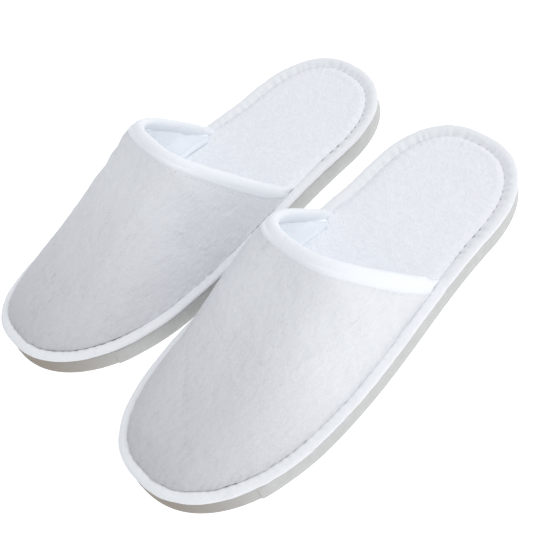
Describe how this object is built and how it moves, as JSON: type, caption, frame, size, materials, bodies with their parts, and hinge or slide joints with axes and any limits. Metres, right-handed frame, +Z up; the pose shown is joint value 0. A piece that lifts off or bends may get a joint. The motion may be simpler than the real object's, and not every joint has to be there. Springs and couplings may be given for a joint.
{
  "type": "spa slippers",
  "caption": "Pair of soft closed-toe, open-back fleece slippers for spa and massage guests; each thin foam sole flexes behind the upper.",
  "frame": {"origin": "centre of the pair's footprint, on the surface that the slippers stand on", "axes": "+X from the left slipper to the right one, +Y from toes to heels, +Z up"},
  "size_m": [0.2281, 0.2876, 0.0825],
  "materials": {
    "upper_fleece": "brushed short-pile fleece, off-white",
    "welt_fleece": "plush fleece binding, white",
    "collar_fleece": "smooth plush fleece roll, white",
    "insole_fleece": "fine looped terry fleece, white",
    "lining": "smooth brushed lining, white",
    "thread": "matt sewing thread, white",
    "sponge": "open-cell foam, cream",
    "board": "pressed fibre board, tan",
    "eva_foam": "closed-cell foam, off-white, fine ribbed tread",
    "edge_tape": "smooth matt edge tape, off-white"
  },
  "bodies": {
    "right_front": {"right_outsole_front": "eva_foam", "right_edge_tape_front": "edge_tape", "right_insole_board_front": "board", "right_insole_foam_front": "sponge", "right_insole_cover_front": "insole_fleece", "right_welt_front": "welt_fleece", "right_welt_stitching_front": "thread", "right_upper_outer": "upper_fleece", "right_upper_foam": "sponge", "right_upper_lining": "lining", "right_collar_binding": "collar_fleece", "right_collar_stitching": "thread"},
    "right_heel": {"right_outsole_heel": "eva_foam", "right_edge_tape_heel": "edge_tape", "right_insole_board_heel": "board", "right_insole_foam_heel": "sponge", "right_insole_cover_heel": "insole_fleece", "right_welt_heel": "welt_fleece", "right_welt_stitching_heel": "thread"},
    "left_front": {"left_outsole_front": "eva_foam", "left_edge_tape_front": "edge_tape", "left_insole_board_front": "board", "left_insole_foam_front": "sponge", "left_insole_cover_front": "insole_fleece", "left_welt_front": "welt_fleece", "left_welt_stitching_front": "thread", "left_upper_outer": "upper_fleece", "left_upper_foam": "sponge", "left_upper_lining": "lining", "left_collar_binding": "collar_fleece", "left_collar_stitching": "thread"},
    "left_heel": {"left_outsole_heel": "eva_foam", "left_edge_tape_heel": "edge_tape", "left_insole_board_heel": "board", "left_insole_foam_heel": "sponge", "left_insole_cover_heel": "insole_fleece", "left_welt_heel": "welt_fleece", "left_welt_stitching_heel": "thread"}
  },
  "joints": [
    {"name": "right_sole_flex", "type": "hinge", "parent": "right_front", "child": "right_heel", "pos_m": [0.05633, 0.04799, 0.0165], "axis": [0.9997, 0.0244, 0], "range_deg": [0, 40], "stiffness_Nm_per_rad": 0.4},
    {"name": "left_sole_flex", "type": "hinge", "parent": "left_front", "child": "left_heel", "pos_m": [-0.05616, 0.04798, 0.0165], "axis": [0.9996, -0.0279, 0], "range_deg": [0, 40], "stiffness_Nm_per_rad": 0.4},
    {"name": "left_lift", "type": "slide", "parent": "right_front", "child": "left_front", "axis": [0, 0, 1], "range_m": [0, 0.12]}
  ]
}
